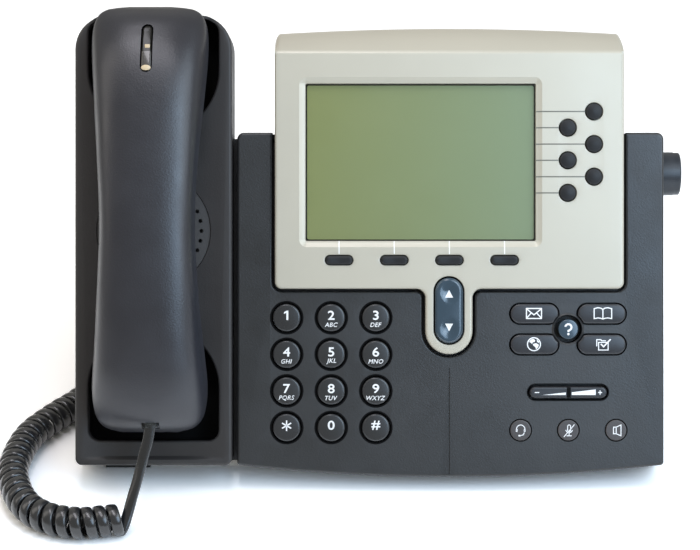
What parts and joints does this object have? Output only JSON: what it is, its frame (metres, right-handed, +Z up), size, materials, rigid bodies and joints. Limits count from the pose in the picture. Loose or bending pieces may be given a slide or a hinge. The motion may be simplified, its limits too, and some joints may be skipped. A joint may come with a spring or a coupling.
{
  "type": "desk phone",
  "caption": "Leaning desk phone with a handset on a side column, a raised display hood, round dialling keys, a rear footstand and a curly cord.",
  "frame": {"origin": "centre of the phone's footprint on the table, the free cord left out", "axes": "+Z up, the phone faces -Y, +X to the right of someone facing it"},
  "size_m": [0.3037, 0.1876, 0.1919],
  "materials": {
    "charcoal_plastic": "fine-grained satin moulding",
    "handset_plastic": "fine-grained satin moulding",
    "silver_paint": "silver-painted plastic, satin",
    "clear_window": "clear acrylic window",
    "lcd_green": "grey-green reflective liquid-crystal glass in a frame",
    "circuit_board": "solder-masked laminate",
    "rubber_black": "moulded rubber",
    "speaker_parts": "painted frame and cone",
    "socket_plastic": "black moulded sockets",
    "steel": "zinc-plated steel",
    "lamp_lens": "smoked clear lens",
    "clear_plug": "clear polycarbonate plug",
    "cord_vinyl": "satin vinyl jacket",
    "key_black": "satin moulded key",
    "key_grey": "satin moulded key",
    "key_blue": "smoked blue-grey gloss key"
  },
  "bodies": {
    "base": {"front_housing": "charcoal_plastic", "handset_cradle": "charcoal_plastic", "rear_housing": "charcoal_plastic", "display_bezel": "silver_paint", "display_window": "clear_window", "lcd_module": "lcd_green", "main_board": "circuit_board", "key_mats": "rubber_black", "speaker_driver": "speaker_parts", "speaker_grille": "charcoal_plastic", "port_sockets": "socket_plastic", "case_screws": "steel", "front_feet": "rubber_black", "stand_axle": "steel", "knob_spring": "steel", "base_plug": "clear_plug", "cord_lead": "cord_vinyl", "cord_coil": "cord_vinyl", "cord_tail": "cord_vinyl"},
    "stand": {"footstand": "charcoal_plastic", "stand_pads": "rubber_black"},
    "knob": {"stand_knob": "charcoal_plastic"},
    "hook": {"hook_plunger": "charcoal_plastic"},
    "handset": {"handset_cover": "handset_plastic", "handset_shell": "handset_plastic", "message_lamp": "lamp_lens", "handset_capsules": "speaker_parts", "handset_plug": "clear_plug"},
    "scroll": {"scroll_rocker": "key_blue"},
    "volume": {"volume_rocker": "key_black"},
    "key_1": {"key_1": "key_black"},
    "key_2": {"key_2": "key_black"},
    "key_3": {"key_3": "key_black"},
    "key_4": {"key_4": "key_black"},
    "key_5": {"key_5": "key_black"},
    "key_6": {"key_6": "key_black"},
    "key_7": {"key_7": "key_black"},
    "key_8": {"key_8": "key_black"},
    "key_9": {"key_9": "key_black"},
    "key_star": {"key_star": "key_black"},
    "key_0": {"key_0": "key_black"},
    "key_hash": {"key_hash": "key_black"},
    "line_key_1": {"line_key_1": "key_black"},
    "line_key_2": {"line_key_2": "key_black"},
    "line_key_3": {"line_key_3": "key_black"},
    "line_key_4": {"line_key_4": "key_black"},
    "line_key_5": {"line_key_5": "key_black"},
    "line_key_6": {"line_key_6": "key_black"},
    "soft_key_1": {"soft_key_1": "key_black"},
    "soft_key_2": {"soft_key_2": "key_black"},
    "soft_key_3": {"soft_key_3": "key_black"},
    "soft_key_4": {"soft_key_4": "key_black"},
    "messages_key": {"messages_key": "key_black"},
    "directories_key": {"directories_key": "key_black"},
    "services_key": {"services_key": "key_black"},
    "settings_key": {"settings_key": "key_black"},
    "headset_key": {"headset_key": "key_grey"},
    "mute_key": {"mute_key": "key_grey"},
    "speaker_key": {"speaker_key": "key_grey"},
    "help_key": {"help_key": "key_blue"}
  },
  "joints": [
    {"name": "stand_fold", "type": "hinge", "parent": "base", "child": "stand", "pos_m": [-0.0046, 0.01487, 0.11492], "axis": [-1, 0, 0], "range_deg": [0, 54]},
    {"name": "knob_press", "type": "slide", "parent": "base", "child": "knob", "axis": [-1, 0, 0], "range_m": [0, 0.003], "stiffness_N_per_m": 800, "springref_m": -0.002, "deforming": ["knob_spring"]},
    {"name": "handset_lift", "type": "slide", "parent": "base", "child": "handset", "axis": [0, -0.866, 0.5], "range_m": [0, 0.04]},
    {"name": "hook_rise", "type": "slide", "parent": "base", "child": "hook", "axis": [0, -0.866, 0.5], "range_m": [0, 0.004]},
    {"name": "scroll_tilt", "type": "hinge", "parent": "base", "child": "scroll", "pos_m": [0.03, -0.02914, 0.06989], "axis": [1, 0, 0], "range_deg": [-3, 3], "stiffness_Nm_per_rad": 0.2},
    {"name": "volume_tilt", "type": "hinge", "parent": "base", "child": "volume", "pos_m": [0.0825, -0.04714, 0.03871], "axis": [0, 0.5, 0.866], "range_deg": [-3, 3], "stiffness_Nm_per_rad": 0.2},
    {"name": "key_1_press", "type": "slide", "parent": "base", "child": "key_1", "axis": [0, 0.866, -0.5], "range_m": [0, 0.001], "stiffness_N_per_m": 500, "springref_m": -0.0004},
    {"name": "key_2_press", "type": "slide", "parent": "base", "child": "key_2", "axis": [0, 0.866, -0.5], "range_m": [0, 0.001], "stiffness_N_per_m": 500, "springref_m": -0.0004},
    {"name": "key_3_press", "type": "slide", "parent": "base", "child": "key_3", "axis": [0, 0.866, -0.5], "range_m": [0, 0.001], "stiffness_N_per_m": 500, "springref_m": -0.0004},
    {"name": "key_4_press", "type": "slide", "parent": "base", "child": "key_4", "axis": [0, 0.866, -0.5], "range_m": [0, 0.001], "stiffness_N_per_m": 500, "springref_m": -0.0004},
    {"name": "key_5_press", "type": "slide", "parent": "base", "child": "key_5", "axis": [0, 0.866, -0.5], "range_m": [0, 0.001], "stiffness_N_per_m": 500, "springref_m": -0.0004},
    {"name": "key_6_press", "type": "slide", "parent": "base", "child": "key_6", "axis": [0, 0.866, -0.5], "range_m": [0, 0.001], "stiffness_N_per_m": 500, "springref_m": -0.0004},
    {"name": "key_7_press", "type": "slide", "parent": "base", "child": "key_7", "axis": [0, 0.866, -0.5], "range_m": [0, 0.001], "stiffness_N_per_m": 500, "springref_m": -0.0004},
    {"name": "key_8_press", "type": "slide", "parent": "base", "child": "key_8", "axis": [0, 0.866, -0.5], "range_m": [0, 0.001], "stiffness_N_per_m": 500, "springref_m": -0.0004},
    {"name": "key_9_press", "type": "slide", "parent": "base", "child": "key_9", "axis": [0, 0.866, -0.5], "range_m": [0, 0.001], "stiffness_N_per_m": 500, "springref_m": -0.0004},
    {"name": "key_star_press", "type": "slide", "parent": "base", "child": "key_star", "axis": [0, 0.866, -0.5], "range_m": [0, 0.001], "stiffness_N_per_m": 500, "springref_m": -0.0004},
    {"name": "key_0_press", "type": "slide", "parent": "base", "child": "key_0", "axis": [0, 0.866, -0.5], "range_m": [0, 0.001], "stiffness_N_per_m": 500, "springref_m": -0.0004},
    {"name": "key_hash_press", "type": "slide", "parent": "base", "child": "key_hash", "axis": [0, 0.866, -0.5], "range_m": [0, 0.001], "stiffness_N_per_m": 500, "springref_m": -0.0004},
    {"name": "line_key_1_press", "type": "slide", "parent": "base", "child": "line_key_1", "axis": [0, 0.866, -0.5], "range_m": [0, 0.001], "stiffness_N_per_m": 500, "springref_m": -0.0004},
    {"name": "line_key_2_press", "type": "slide", "parent": "base", "child": "line_key_2", "axis": [0, 0.866, -0.5], "range_m": [0, 0.001], "stiffness_N_per_m": 500, "springref_m": -0.0004},
    {"name": "line_key_3_press", "type": "slide", "parent": "base", "child": "line_key_3", "axis": [0, 0.866, -0.5], "range_m": [0, 0.001], "stiffness_N_per_m": 500, "springref_m": -0.0004},
    {"name": "line_key_4_press", "type": "slide", "parent": "base", "child": "line_key_4", "axis": [0, 0.866, -0.5], "range_m": [0, 0.001], "stiffness_N_per_m": 500, "springref_m": -0.0004},
    {"name": "line_key_5_press", "type": "slide", "parent": "base", "child": "line_key_5", "axis": [0, 0.866, -0.5], "range_m": [0, 0.001], "stiffness_N_per_m": 500, "springref_m": -0.0004},
    {"name": "line_key_6_press", "type": "slide", "parent": "base", "child": "line_key_6", "axis": [0, 0.866, -0.5], "range_m": [0, 0.001], "stiffness_N_per_m": 500, "springref_m": -0.0004},
    {"name": "soft_key_1_press", "type": "slide", "parent": "base", "child": "soft_key_1", "axis": [0, 0.866, -0.5], "range_m": [0, 0.001], "stiffness_N_per_m": 500, "springref_m": -0.0004},
    {"name": "soft_key_2_press", "type": "slide", "parent": "base", "child": "soft_key_2", "axis": [0, 0.866, -0.5], "range_m": [0, 0.001], "stiffness_N_per_m": 500, "springref_m": -0.0004},
    {"name": "soft_key_3_press", "type": "slide", "parent": "base", "child": "soft_key_3", "axis": [0, 0.866, -0.5], "range_m": [0, 0.001], "stiffness_N_per_m": 500, "springref_m": -0.0004},
    {"name": "soft_key_4_press", "type": "slide", "parent": "base", "child": "soft_key_4", "axis": [0, 0.866, -0.5], "range_m": [0, 0.001], "stiffness_N_per_m": 500, "springref_m": -0.0004},
    {"name": "messages_key_press", "type": "slide", "parent": "base", "child": "messages_key", "axis": [0, 0.866, -0.5], "range_m": [0, 0.001], "stiffness_N_per_m": 500, "springref_m": -0.0004},
    {"name": "directories_key_press", "type": "slide", "parent": "base", "child": "directories_key", "axis": [0, 0.866, -0.5], "range_m": [0, 0.001], "stiffness_N_per_m": 500, "springref_m": -0.0004},
    {"name": "services_key_press", "type": "slide", "parent": "base", "child": "services_key", "axis": [0, 0.866, -0.5], "range_m": [0, 0.001], "stiffness_N_per_m": 500, "springref_m": -0.0004},
    {"name": "settings_key_press", "type": "slide", "parent": "base", "child": "settings_key", "axis": [0, 0.866, -0.5], "range_m": [0, 0.001], "stiffness_N_per_m": 500, "springref_m": -0.0004},
    {"name": "headset_key_press", "type": "slide", "parent": "base", "child": "headset_key", "axis": [0, 0.866, -0.5], "range_m": [0, 0.001], "stiffness_N_per_m": 500, "springref_m": -0.0004},
    {"name": "mute_key_press", "type": "slide", "parent": "base", "child": "mute_key", "axis": [0, 0.866, -0.5], "range_m": [0, 0.001], "stiffness_N_per_m": 500, "springref_m": -0.0004},
    {"name": "speaker_key_press", "type": "slide", "parent": "base", "child": "speaker_key", "axis": [0, 0.866, -0.5], "range_m": [0, 0.001], "stiffness_N_per_m": 500, "springref_m": -0.0004},
    {"name": "help_key_press", "type": "slide", "parent": "base", "child": "help_key", "axis": [0, 0.866, -0.5], "range_m": [0, 0.001], "stiffness_N_per_m": 500, "springref_m": -0.0004}
  ],
  "couplings": [
    {"joint": "hook_rise", "follows": "handset_lift", "ratio": 0.1}
  ]
}
